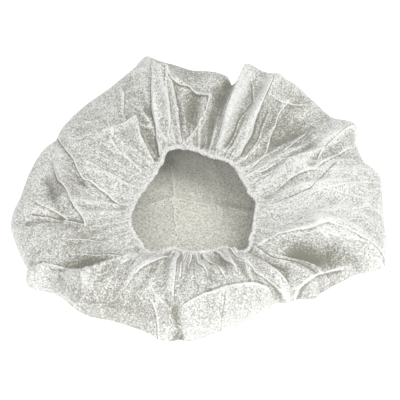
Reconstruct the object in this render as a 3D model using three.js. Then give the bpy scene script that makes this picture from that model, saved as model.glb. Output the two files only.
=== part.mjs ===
// Bouffant cap: one round sheet of soft non-woven cloth, gathered onto an elastic ring.
// It lies on its crown with the mouth up. Millimetres, +Z up, the mouth towards +Z.
// The back of the cap is towards +Y, and angles turn anticlockwise from +X seen from above.
import * as THREE from "three";

// Driving sizes, in millimetres
const capReach = 160; // middle of the mouth to the widest edge, the unit of the outline's reach
const puffHeight = 62; // floor to the crest, the unit of heights in the outline and of the folds' rise
const mouthRadius = 54; // the elastic at rest, the unit of the rim's reach
const mouthHeight = 40; // floor to the hem, the unit of the rim's height
const underTurn = 50; // run of the cloth's curve from the floor out to the widest edge
const clothWall = 1.6; // thickness of the puffed cloth
const hemWall = 1.2; // thickness of the cloth turned over the elastic
const hemDepth = 5; // how far the turned-over cloth reaches from the rim
const hemRipple = 0.7; // half the height of the gathers where the hem holds them
const elasticWidth = 2.6;
const elasticThickness = 1;
const clearance = 0.35; // between the hem and the elastic, and at the seam
const pleatDepth = 1.9; // half the height of the fine pleats beside the hem
const gatherDepth = 3.2; // half the height of the folds that the pleats run out into

// Counts
const pleatCount = 60;
const samplesPerPleat = 2;
const gatherCount = 19;

// A table is a list of rows under named columns, and each row becomes one object.
function table(columns, rows) {
  return rows.map((row) => Object.fromEntries(columns.map((name, i) => [name, row[i]])));
}

// The cap seen from above: how far the cloth puffs out, how high its widest edge is and how high it crests.
const outline = table(
  ["angle", "reach", "edge", "crest"],
  [
    [3, 1.01, 0.4, 0.86], // right side
    [11, 1.03, 0.42, 0.86],
    [18, 0.97, 0.46, 0.86],
    [26, 0.98, 0.5, 0.88], // back right, two lobes and a nick between them
    [33, 1.02, 0.5, 0.86],
    [39, 0.98, 0.52, 0.82],
    [49, 1.0, 0.52, 0.8],
    [57, 1.02, 0.55, 0.94],
    [65, 1.0, 0.56, 0.98],
    [72, 0.96, 0.55, 1.0],
    [75, 0.92, 0.5, 0.92], // notch behind the mouth
    [79, 0.97, 0.5, 0.88],
    [90, 0.96, 0.54, 0.88],
    [98, 1.01, 0.56, 0.94],
    [104, 1.04, 0.58, 1.0], // back left corner
    [111, 1.01, 0.55, 0.94],
    [123, 0.95, 0.52, 0.88],
    [136, 0.93, 0.5, 0.84],
    [147, 0.91, 0.5, 0.84],
    [160, 0.92, 0.48, 0.84],
    [176, 0.94, 0.44, 0.8],
    [185, 0.98, 0.4, 0.78],
    [197, 0.96, 0.34, 0.74],
    [207, 0.92, 0.29, 0.7], // front left corner
    [213, 0.88, 0.26, 0.75],
    [227, 0.84, 0.21, 0.84],
    [239, 0.78, 0.2, 0.86],
    [250, 0.77, 0.19, 0.88],
    [262, 0.81, 0.18, 0.9],
    [277, 0.75, 0.19, 0.88],
    [293, 0.71, 0.21, 0.84],
    [306, 0.68, 0.24, 0.76],
    [321, 0.8, 0.26, 0.72],
    [332, 0.9, 0.28, 0.74],
    [336, 0.93, 0.29, 0.76],
    [340, 1.01, 0.31, 0.78], // front right corner
    [344, 1.03, 0.34, 0.82],
    [349, 1.03, 0.36, 0.84],
    [356, 1.01, 0.38, 0.85],
  ],
);

// The rim of the mouth, about its own middle
const rim = table(
  ["angle", "reach", "height"],
  [
    [0, 0.94, 1.0],
    [12, 0.84, 1.02],
    [28, 0.83, 1.05],
    [55, 0.91, 1.08],
    [73, 0.87, 1.1],
    [84, 0.92, 1.12],
    [112, 1.05, 1.14],
    [128, 0.84, 1.12],
    [150, 0.76, 1.08],
    [180, 0.88, 1.02],
    [202, 1.05, 1.0],
    [224, 1.14, 1.0],
    [235, 1.2, 1.0],
    [253, 1.0, 1.08],
    [272, 1.02, 1.05],
    [292, 1.02, 1.08],
    [309, 1.22, 0.98],
    [324, 1.06, 1.0],
    [345, 0.95, 1.0],
  ],
);

// Folds of the upper cloth, each a straight line between two places given by angle and way.
// The way runs from 0 at the rim to 1 at the widest edge. Rise is a share of puffHeight, a valley's
// is negative, and width is a share of capReach. A fold with a lean is steeper on one side.
const folds = table(
  ["angleIn", "wayIn", "angleOut", "wayOut", "riseIn", "riseOut", "width", "lean"],
  [
    // back, from the left corner to the notch
    [118, 0.04, 106, 0.93, 0.08, 0.12, 0.05, 0.2],
    [126, 0.05, 116, 0.4, -0.15, -0.06, 0.055, 0],
    [109, 0.04, 102, 0.66, 0.05, 0.1, 0.04, 0],
    [94, 0.14, 92, 0.48, -0.12, -0.15, 0.06, 0],
    [101, 0.68, 93, 0.54, 0.1, 0.08, 0.04, -0.2],
    [93, 0.54, 82, 0.46, 0.08, 0.12, 0.04, -0.2],
    [96, 0.05, 82, 0.46, 0.06, 0.12, 0.04, 0],
    [82, 0.1, 77, 0.95, -0.12, -0.14, 0.05, 0],
    // back right lobes
    [67, 0.04, 71, 0.92, 0.08, 0.12, 0.05, -0.2],
    [62, 0.12, 65, 0.7, -0.1, -0.12, 0.04, 0],
    [55, 0.06, 60, 0.85, 0.08, 0.12, 0.05, 0.2],
    [45, 0.18, 40, 0.62, -0.1, -0.2, 0.1, 0],
    [26, 0.2, 29, 0.56, -0.08, -0.14, 0.055, 0],
    [13, 0.03, 16, 0.42, 0.05, 0.12, 0.05, 0.3],
    [16, 0.42, 31, 0.96, 0.12, 0.1, 0.05, 0.3],
    [6, 0.08, 21, 0.74, -0.07, -0.1, 0.045, 0],
    // right
    [353, 0.1, 5, 0.64, 0.05, 0.04, 0.05, 0],
    [320, 0.14, 340, 0.5, 0.06, 0.12, 0.055, 0.3],
    [340, 0.5, 341, 0.98, 0.12, 0.08, 0.055, 0.3],
    [318, 0.46, 333, 0.82, -0.12, -0.2, 0.06, 0],
    [313, 0.12, 320, 0.95, 0.04, 0.1, 0.04, 0],
    // front
    [304, 0.14, 314, 0.76, -0.08, -0.1, 0.04, 0],
    [295, 0.03, 311, 0.98, 0.07, 0.12, 0.045, 0.2],
    [278, 0.12, 278, 0.55, -0.05, -0.05, 0.045, 0],
    [271, 0.04, 274, 0.6, 0.04, 0.04, 0.04, 0],
    [258, 0.04, 261, 0.72, 0.04, 0.06, 0.045, 0],
    [252, 0.1, 250, 0.5, -0.05, -0.04, 0.04, 0],
    [256, 0.03, 243, 0.58, 0.04, 0.12, 0.045, -0.2],
    [267, 0.82, 282, 0.78, 0.05, 0.07, 0.04, 0],
    [282, 0.78, 303, 0.93, 0.07, 0.06, 0.04, 0],
    [259, 0.8, 264, 0.98, -0.09, -0.1, 0.04, 0],
    // left
    [236, 0.14, 226, 0.78, 0.04, 0.12, 0.045, -0.2],
    [226, 0.78, 208, 1.0, 0.12, 0.14, 0.045, -0.2],
    [234, 0.24, 214, 0.84, -0.08, -0.22, 0.06, 0],
    [198, 0.36, 189, 0.84, -0.1, -0.12, 0.045, 0.3],
    [193, 0.42, 185, 0.52, 0.04, 0.08, 0.045, 0],
    [185, 0.52, 167, 0.72, 0.08, 0.08, 0.045, 0],
    [190, 0.58, 172, 0.78, -0.08, -0.1, 0.04, 0],
    [183, 0.08, 169, 0.46, -0.05, -0.09, 0.045, 0.3],
    [169, 0.46, 148, 0.98, -0.09, -0.08, 0.045, 0.3],
    [133, 0.03, 128, 0.36, 0.06, 0.13, 0.055, -0.3],
    [128, 0.36, 143, 0.58, 0.13, 0.06, 0.055, -0.3],
  ],
);

// Where the rows of the sheet lie: the way goes from 0 at the rim to 1 at the widest edge,
// and from there to 2 where the cloth meets the floor.
const ways = [
  0, 0.035, 0.08, 0.14, 0.21, 0.29, 0.38, 0.47, 0.57, 0.67, 0.77, 0.87, 0.95, 1.02, 1.2, 1.42, 1.68, 2,
];
const crestWay = 0.46; // where the cloth is highest
const foldsFade = { from: 1.0, to: 1.5 }; // the folds die out round the edge
const pleatsFade = { from: 0.1, to: 0.42 };
const gathersRun = { from: 0.04, full: 0.26, to: 0.8 };
const crestFlatness = 2.3; // exponent of the curve from the crest down to the widest edge
const foldSharpness = 1.6; // 2 is a round fold, 1 a pointed one
const foldsHeld = 0.05; // the way over which the folds open out from the rim
const pleatUnevenness = { share: 0.22, waves: 7, phase: 1.3 };
const gatherWander = [
  { swing: 1.2, waves: 3, phase: 0.4 },
  { swing: 0.8, waves: 5, phase: 2.1 },
];
const slopeStep = 0.004; // the part of the way over which a slope is taken

const degrees = THREE.MathUtils.degToRad;
const smoothstep = THREE.MathUtils.smoothstep;

// A column of a table at any angle, on a smooth curve through the rows that never overshoots them
function around(rows, column, angle) {
  const turn = 2 * Math.PI;
  const count = rows.length;
  const row = (i) => rows[((i % count) + count) % count];
  const angleOf = (i) => degrees(row(i).angle) + Math.floor(i / count) * turn;
  const slope = (i) => (row(i + 1)[column] - row(i)[column]) / (angleOf(i + 1) - angleOf(i));
  const tangent = (i) => {
    const before = slope(i - 1);
    const after = slope(i);
    return before * after > 0 ? (2 * before * after) / (before + after) : 0;
  };
  let a = angle % turn;
  if (a < degrees(rows[0].angle)) a += turn;
  let i = count - 1;
  while (a < angleOf(i)) i -= 1;
  const span = angleOf(i + 1) - angleOf(i);
  const u = (a - angleOf(i)) / span;
  const v = 1 - u;
  return (
    row(i)[column] * (1 + 2 * u) * v * v +
    row(i + 1)[column] * (3 - 2 * u) * u * u +
    tangent(i) * span * u * v * v -
    tangent(i + 1) * span * u * u * v
  );
}

// Radius of the sheet about the mouth's middle, at a way of 1 or less
function reachAt(angle, way) {
  const atRim = mouthRadius * around(rim, "reach", angle) + hemDepth;
  const atEdge = capReach * around(outline, "reach", angle);
  return THREE.MathUtils.lerp(atRim, atEdge, way);
}

// The smooth form of the sheet without its folds, as a radius and a height
function smoothForm(angle, way) {
  const edge = puffHeight * around(outline, "edge", angle);
  if (way > 1) {
    const turn = ((way - 1) * Math.PI) / 2;
    return {
      radius: reachAt(angle, 1) - underTurn * (1 - Math.cos(turn)),
      height: edge * (1 - Math.sin(turn)),
    };
  }
  const crest = puffHeight * around(outline, "crest", angle);
  const atRim = mouthHeight * around(rim, "height", angle);
  const fall = Math.max(0, (way - crestWay) / (1 - crestWay));
  return {
    radius: reachAt(angle, way),
    height:
      way < crestWay
        ? THREE.MathUtils.lerp(atRim, crest, smoothstep(way, 0, crestWay))
        : edge + (crest - edge) * (1 - fall ** crestFlatness) ** (1 / crestFlatness),
  };
}

// Unit normal of the smooth form, away from the hollow, in the upright plane through the middle
function smoothNormal(angle, way) {
  const before = smoothForm(angle, Math.max(0, way - slopeStep));
  const after = smoothForm(angle, Math.min(2, way + slopeStep));
  const normal = new THREE.Vector2(before.height - after.height, after.radius - before.radius);
  return normal.normalize();
}

function planPoint(angle, way) {
  const radius = reachAt(angle, Math.min(1, way));
  return new THREE.Vector2(radius * Math.cos(angle), radius * Math.sin(angle));
}

const foldLines = folds.map((fold) => ({
  ...fold,
  start: planPoint(degrees(fold.angleIn), fold.wayIn),
  end: planPoint(degrees(fold.angleOut), fold.wayOut),
}));

// How far one fold lifts a point of the plan
function foldLift(fold, point) {
  const line = fold.end.clone().sub(fold.start);
  const offset = point.clone().sub(fold.start);
  const along = THREE.MathUtils.clamp(offset.dot(line) / line.lengthSq(), 0, 1);
  const away = offset.clone().addScaledVector(line, -along);
  const side = Math.sign(line.cross(away));
  const width = fold.width * capReach * (1 + side * fold.lean);
  const rise = puffHeight * THREE.MathUtils.lerp(fold.riseIn, fold.riseOut, along);
  return rise * Math.exp(-((away.length() / width) ** foldSharpness));
}

// Fine pleats beside the hem, which keep a little of their height where the hem holds them
function pleatLift(angle, way) {
  const wave = Math.cos(pleatCount * angle);
  const { share, waves, phase } = pleatUnevenness;
  const uneven = 1 - share + share * Math.sin(waves * angle + phase);
  const opened = THREE.MathUtils.lerp(hemRipple, pleatDepth * uneven, smoothstep(way, 0, pleatsFade.from));
  return wave * opened * (1 - smoothstep(way, pleatsFade.from, pleatsFade.to));
}

// Wider, uneven folds that the pleats run out into
function gatherLift(angle, way) {
  const wander = gatherWander.reduce(
    (sum, { swing, waves, phase }) => sum + swing * Math.sin(waves * angle + phase),
    0,
  );
  const opened = smoothstep(way, gathersRun.from, gathersRun.full);
  const closed = 1 - smoothstep(way, gathersRun.full, gathersRun.to);
  return gatherDepth * Math.cos(gatherCount * angle + wander) * opened * closed;
}

function lift(angle, way) {
  const point = planPoint(angle, way);
  const main = foldLines.reduce((sum, fold) => sum + foldLift(fold, point), 0);
  const kept = smoothstep(way, 0, foldsHeld) * (1 - smoothstep(way, foldsFade.from, foldsFade.to));
  return main * kept + pleatLift(angle, way) + gatherLift(angle, way);
}

// A point of the folded sheet, a depth into the cloth from its outer face
function sheetPoint(angle, way, depth) {
  const form = smoothForm(angle, way);
  const normal = smoothNormal(angle, way);
  const move = lift(angle, way) - depth;
  const radius = form.radius + normal.x * move;
  return [radius * Math.cos(angle), radius * Math.sin(angle), form.height + normal.y * move];
}

const sampleCount = pleatCount * samplesPerPleat;
const sampleAngle = (i) => (2 * Math.PI * i) / sampleCount;

// A closed surface from rings of points of equal length, with each end ring closed by a fan
// to its pole or, without poles, the last ring joined to the first
function ringSurface(rings, poles) {
  const size = rings[0].length;
  const positions = rings.flat(2);
  const indices = [];
  const joined = poles ? rings.length - 1 : rings.length;
  for (let r = 0; r < joined; r += 1) {
    for (let i = 0; i < size; i += 1) {
      const j = (i + 1) % size;
      const low = r * size;
      const high = ((r + 1) % rings.length) * size;
      indices.push(low + i, low + j, high + j, low + i, high + j, high + i);
    }
  }
  if (poles) {
    const first = rings.length * size;
    const last = (rings.length - 1) * size;
    positions.push(...poles[0], ...poles[1]);
    for (let i = 0; i < size; i += 1) {
      const j = (i + 1) % size;
      indices.push(first, j, i, first + 1, last + i, last + j);
    }
  }
  const geometry = new THREE.BufferGeometry();
  geometry.setAttribute("position", new THREE.Float32BufferAttribute(positions, 3));
  geometry.setIndex(indices);
  geometry.computeVertexNormals();
  return geometry;
}

// The puffed cloth: its outer face from the floor up to the rim, then its inner face back down
function crownGeometry() {
  const ring = (way, depth) =>
    Array.from({ length: sampleCount }, (_, i) => sheetPoint(sampleAngle(i), way, depth));
  const outer = ways.map((way) => ring(way, 0)).reverse();
  const inner = ways.map((way) => ring(way, clothWall));
  return ringSurface([...outer, ...inner], [[0, 0, 0], [0, 0, clothWall]]);
}

// A ring swept round the mouth. Each corner of its section is a distance out from the nose
// of the hem and a height above the middle of the channel.
const channelHeight = elasticThickness + 2 * clearance;
const hemHeight = channelHeight + 2 * hemWall;

function rimRing(section) {
  const ring = ([out, up]) =>
    Array.from({ length: sampleCount }, (_, i) => {
      const angle = sampleAngle(i);
      const radius = mouthRadius * around(rim, "reach", angle) + out;
      const top = mouthHeight * around(rim, "height", angle) + pleatLift(angle, 0);
      return [radius * Math.cos(angle), radius * Math.sin(angle), top - hemHeight / 2 + up];
    });
  return ringSurface(section.map(ring), null);
}

// The cloth turned over the elastic: a channel, round at its nose and open away from the mouth
function hemGeometry() {
  const end = hemDepth - clearance;
  const half = hemHeight / 2;
  const channel = channelHeight / 2;
  return rimRing([
    [end, half],
    [half, half],
    [0, 0],
    [half, -half],
    [end, -half],
    [end, -channel],
    [hemWall, -channel],
    [hemWall, channel],
    [end, channel],
  ]);
}

function elasticGeometry() {
  const start = hemWall + clearance;
  const half = elasticThickness / 2;
  return rimRing([
    [start, half],
    [start, -half],
    [start + elasticWidth, -half],
    [start + elasticWidth, half],
  ]);
}

const clothMaterial = new THREE.MeshStandardMaterial({ color: 0xe9e9e6, roughness: 0.85, metalness: 0 });
const hemMaterial = new THREE.MeshStandardMaterial({ color: 0xf6f6f4, roughness: 0.8, metalness: 0 });
const elasticMaterial = new THREE.MeshStandardMaterial({ color: 0xfafaf8, roughness: 0.6, metalness: 0 });

function piece(name, geometry, material) {
  const mesh = new THREE.Mesh(geometry, material);
  mesh.name = name;
  return mesh;
}

const cap = new THREE.Group();
cap.add(
  piece("crown", crownGeometry(), clothMaterial),
  piece("hem", hemGeometry(), hemMaterial),
  piece("elastic", elasticGeometry(), elasticMaterial),
);

// The origin is on the floor, under the middle of the whole cap.
const box = new THREE.Box3().setFromObject(cap, true);
const middle = box.getCenter(new THREE.Vector3());
cap.position.set(-middle.x, -middle.y, -box.min.z);

export default cap;
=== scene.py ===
"""A bouffant cap that lies on its crown with the mouth up, in metres, +Z up.

One thin sheet of spunbonded cloth puffs out round the mouth, and a gathered hem holds it to the elastic.
Angles turn anticlockwise from +X about the middle of the mouth. The way along the sheet runs from 0 at
the hem to 1 at the widest edge, to 2 where the cloth meets the floor, and to 3 at its middle.
"""
import math

import bpy
import numpy as np
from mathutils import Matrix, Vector


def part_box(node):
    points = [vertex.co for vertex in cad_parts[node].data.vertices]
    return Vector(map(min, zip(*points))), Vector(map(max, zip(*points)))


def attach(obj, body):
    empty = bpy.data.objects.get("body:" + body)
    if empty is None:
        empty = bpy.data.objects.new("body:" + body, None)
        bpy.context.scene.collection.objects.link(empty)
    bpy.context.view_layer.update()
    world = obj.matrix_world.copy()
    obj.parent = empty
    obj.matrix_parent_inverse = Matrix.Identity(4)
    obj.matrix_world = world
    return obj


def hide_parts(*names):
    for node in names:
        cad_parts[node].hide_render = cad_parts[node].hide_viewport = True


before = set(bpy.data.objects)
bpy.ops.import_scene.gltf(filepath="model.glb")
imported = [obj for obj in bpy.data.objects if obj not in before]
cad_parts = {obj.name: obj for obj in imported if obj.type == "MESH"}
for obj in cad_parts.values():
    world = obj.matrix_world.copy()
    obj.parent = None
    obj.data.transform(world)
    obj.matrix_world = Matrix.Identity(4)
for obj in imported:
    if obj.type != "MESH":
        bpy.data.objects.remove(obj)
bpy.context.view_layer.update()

# Driving sizes, the same as the solids follow
CAP_REACH = 0.160
PUFF_HEIGHT = 0.062
MOUTH_RADIUS = 0.054
MOUTH_HEIGHT = 0.040
UNDER_TURN = 0.050
HEM_DEPTH = 0.005
HEM_DROP = 0.00175  # the middle of the hem under the hem's top
CREST_WAY = 0.46
CREST_FLATNESS = 2.3
MAIN_SHARE = 0.9  # the height of the main folds and of the creases over them
THIN_SHARE = 0.65
FOLD_SHARPNESS = 1.6  # 2 is a round fold, 1 a pointed one
CREASE_SHARPNESS = 1.0
LEAST_LINE = 0.25  # how strong the painted line of the lowest crease shows
LINE_PER_RISE = 9.0  # how much stronger a crease's painted line shows for its height
LINE_WANDER = 0.0011  # how far a crease's line strays from straight
OVERHANG = 0.55  # how far a leaning fold hangs over, as a share of its lift
FOLDS_HELD = 0.05
FOLDS_FADE = (1.0, 1.5)
CLEARANCE = 0.00035

# The cloth itself
CLOTH_THICKNESS = 0.0004
SHEET_START = -0.042  # the way at which the cloth begins, on top of the hem
HEM_TUCK = 0.0012  # how far the cloth turns down over the hem's nose
HEM_WAVER = 0.0005  # how far the hem strays from its even line
LINE_WANDER_LENGTH = 0.028
UNDER_STRETCH = 0.35  # how far the wrinkles run on outwards under the widest edge
ON_FLOOR = (1.8, 2.1)  # the ways over which the cloth comes to lie on the floor

# The mesh of the cloth
COLUMNS = 512
UPPER_ROWS = 64
UPPER_CROWDING = 1.1  # above 1 the rows are closer together by the hem
UNDER_WAYS = (1.06, 2, 6)  # first, last and how many
FLOOR_WAYS = (2.05, 2.965, 27)

# The cloth's tones, which paint highlight on ridges and shade into valleys and hollows. Passes are how often
# the cloth is smoothed along and round it, to find what stands out.
RIDGE_PASSES, RIDGE_HIGHLIGHT_FULL = (1, 4), 0.0004  # height of a narrow ridge that shows fully white, a painted highlight
VALLEY_PASSES, VALLEY_SHADE_FULL = (6, 40), 0.0022  # depth of a valley that shows fully thin, painted shade and partly thinner single cloth
HOLLOW_PASSES, HOLLOW_SHADE_FULL = (14, 220), 0.005  # depth of a broad hollow that shows fully thin, painted shade and partly thinner single cloth
MOST_RAISED = -0.2  # the least that a valley's or hollow's share may be
FLOOR_PAINTED_LIGHT = 0.1  # how much whiter the cloth on the floor shows, painted light for the light that comes in through the cloth
UNDER_RIM_PAINTED_LIGHT = 0.45  # how much more painted light under the back of the rim, against the rim's shade
UNDER_RIM = (0.02, 0.09)  # where that painted light begins and where it is full, behind the middle of the mouth
SHEET_SPAN = 0.7  # the flat place of the cloth is stored as a share of this span
FLAT_PASSES = (0, 200)

TURN = 2 * math.pi
COLUMN_ANGLES = np.arange(COLUMNS) * TURN / COLUMNS


def table(columns, rows):
    """Rows under named columns, each as a dict."""
    return [dict(zip(columns, row)) for row in rows]


OUTLINE = table(["angle", "reach", "edge", "crest"], [
    [3, 1.01, 0.4, 0.86],
    [11, 1.03, 0.42, 0.86],
    [18, 0.97, 0.46, 0.86],
    [26, 0.98, 0.5, 0.88],
    [33, 1.02, 0.5, 0.86],
    [39, 0.98, 0.52, 0.82],
    [49, 1.0, 0.52, 0.8],
    [57, 1.02, 0.55, 0.94],
    [65, 1.0, 0.56, 0.98],
    [72, 0.96, 0.55, 1.0],
    [75, 0.92, 0.5, 0.92],
    [79, 0.97, 0.5, 0.88],
    [90, 0.96, 0.54, 0.88],
    [98, 1.01, 0.56, 0.94],
    [104, 1.04, 0.58, 1.0],
    [111, 1.01, 0.55, 0.94],
    [123, 0.95, 0.52, 0.88],
    [136, 0.93, 0.5, 0.84],
    [147, 0.91, 0.5, 0.84],
    [160, 0.92, 0.48, 0.84],
    [176, 0.94, 0.44, 0.8],
    [185, 0.98, 0.4, 0.78],
    [197, 0.96, 0.34, 0.74],
    [207, 0.92, 0.29, 0.7],
    [213, 0.88, 0.26, 0.75],
    [227, 0.84, 0.21, 0.84],
    [239, 0.78, 0.2, 0.86],
    [250, 0.77, 0.19, 0.88],
    [262, 0.81, 0.18, 0.9],
    [277, 0.75, 0.19, 0.88],
    [293, 0.71, 0.21, 0.84],
    [306, 0.68, 0.24, 0.76],
    [321, 0.8, 0.26, 0.72],
    [332, 0.9, 0.28, 0.74],
    [336, 0.93, 0.29, 0.76],
    [340, 1.01, 0.31, 0.78],
    [344, 1.03, 0.34, 0.82],
    [349, 1.03, 0.36, 0.84],
    [356, 1.01, 0.38, 0.85],
])

RIM = table(["angle", "reach", "height"], [
    [0, 0.94, 1.0],
    [12, 0.84, 1.02],
    [28, 0.83, 1.05],
    [55, 0.91, 1.08],
    [73, 0.87, 1.1],
    [84, 0.92, 1.12],
    [112, 1.05, 1.14],
    [128, 0.84, 1.12],
    [150, 0.76, 1.08],
    [180, 0.88, 1.02],
    [202, 1.05, 1.0],
    [224, 1.14, 1.0],
    [235, 1.2, 1.0],
    [253, 1.0, 1.08],
    [272, 1.02, 1.05],
    [292, 1.02, 1.08],
    [309, 1.22, 0.98],
    [324, 1.06, 1.0],
    [345, 0.95, 1.0],
])

FOLD_COLUMNS = ["angle_in", "way_in", "angle_out", "way_out", "rise_in", "rise_out", "width", "lean"]

# The main folds, which the solids have too. The one from 295 to 311 is a little lower here.
FOLDS = table(FOLD_COLUMNS, [
    # back, from the left corner to the notch
    [118, 0.04, 106, 0.93, 0.08, 0.12, 0.05, 0.2],
    [126, 0.05, 116, 0.4, -0.15, -0.06, 0.055, 0],
    [109, 0.04, 102, 0.66, 0.05, 0.1, 0.04, 0],
    [94, 0.14, 92, 0.48, -0.12, -0.15, 0.06, 0],
    [101, 0.68, 93, 0.54, 0.1, 0.08, 0.04, -0.2],
    [93, 0.54, 82, 0.46, 0.08, 0.12, 0.04, -0.2],
    [96, 0.05, 82, 0.46, 0.06, 0.12, 0.04, 0],
    [82, 0.1, 77, 0.95, -0.12, -0.14, 0.05, 0],
    # back right lobes
    [67, 0.04, 71, 0.92, 0.08, 0.12, 0.05, -0.2],
    [62, 0.12, 65, 0.7, -0.1, -0.12, 0.04, 0],
    [55, 0.06, 60, 0.85, 0.08, 0.12, 0.05, 0.2],
    [45, 0.18, 40, 0.62, -0.1, -0.2, 0.1, 0],
    [26, 0.2, 29, 0.56, -0.08, -0.14, 0.055, 0],
    [13, 0.03, 16, 0.42, 0.05, 0.12, 0.05, 0.3],
    [16, 0.42, 31, 0.96, 0.12, 0.1, 0.05, 0.3],
    [6, 0.08, 21, 0.74, -0.07, -0.1, 0.045, 0],
    # right
    [353, 0.1, 5, 0.64, 0.05, 0.04, 0.05, 0],
    [320, 0.14, 340, 0.5, 0.06, 0.12, 0.055, 0.3],
    [340, 0.5, 341, 0.98, 0.12, 0.08, 0.055, 0.3],
    [318, 0.46, 333, 0.82, -0.12, -0.2, 0.06, 0],
    [313, 0.12, 320, 0.95, 0.04, 0.1, 0.04, 0],
    # front
    [304, 0.14, 314, 0.76, -0.08, -0.1, 0.04, 0],
    [295, 0.03, 311, 0.98, 0.07, 0.09, 0.045, 0.2],
    [278, 0.12, 278, 0.55, -0.05, -0.05, 0.045, 0],
    [271, 0.04, 274, 0.6, 0.04, 0.04, 0.04, 0],
    [258, 0.04, 261, 0.72, 0.04, 0.06, 0.045, 0],
    [252, 0.1, 250, 0.5, -0.05, -0.04, 0.04, 0],
    [256, 0.03, 243, 0.58, 0.04, 0.12, 0.045, -0.2],
    [267, 0.82, 282, 0.78, 0.05, 0.07, 0.04, 0],
    [282, 0.78, 303, 0.93, 0.07, 0.06, 0.04, 0],
    [259, 0.8, 264, 0.98, -0.09, -0.1, 0.04, 0],
    # left
    [236, 0.14, 226, 0.78, 0.04, 0.12, 0.045, -0.2],
    [226, 0.78, 208, 1.0, 0.12, 0.14, 0.045, -0.2],
    [234, 0.24, 214, 0.84, -0.08, -0.22, 0.06, 0],
    [198, 0.36, 189, 0.84, -0.1, -0.12, 0.045, 0.3],
    [193, 0.42, 185, 0.52, 0.04, 0.08, 0.045, 0],
    [185, 0.52, 167, 0.72, 0.08, 0.08, 0.045, 0],
    [190, 0.58, 172, 0.78, -0.08, -0.1, 0.04, 0],
    [183, 0.08, 169, 0.46, -0.05, -0.09, 0.045, 0.3],
    [169, 0.46, 148, 0.98, -0.09, -0.08, 0.045, 0.3],
    [133, 0.03, 128, 0.36, 0.06, 0.13, 0.055, -0.3],
    [128, 0.36, 143, 0.58, 0.13, 0.06, 0.055, -0.3],
])

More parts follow.
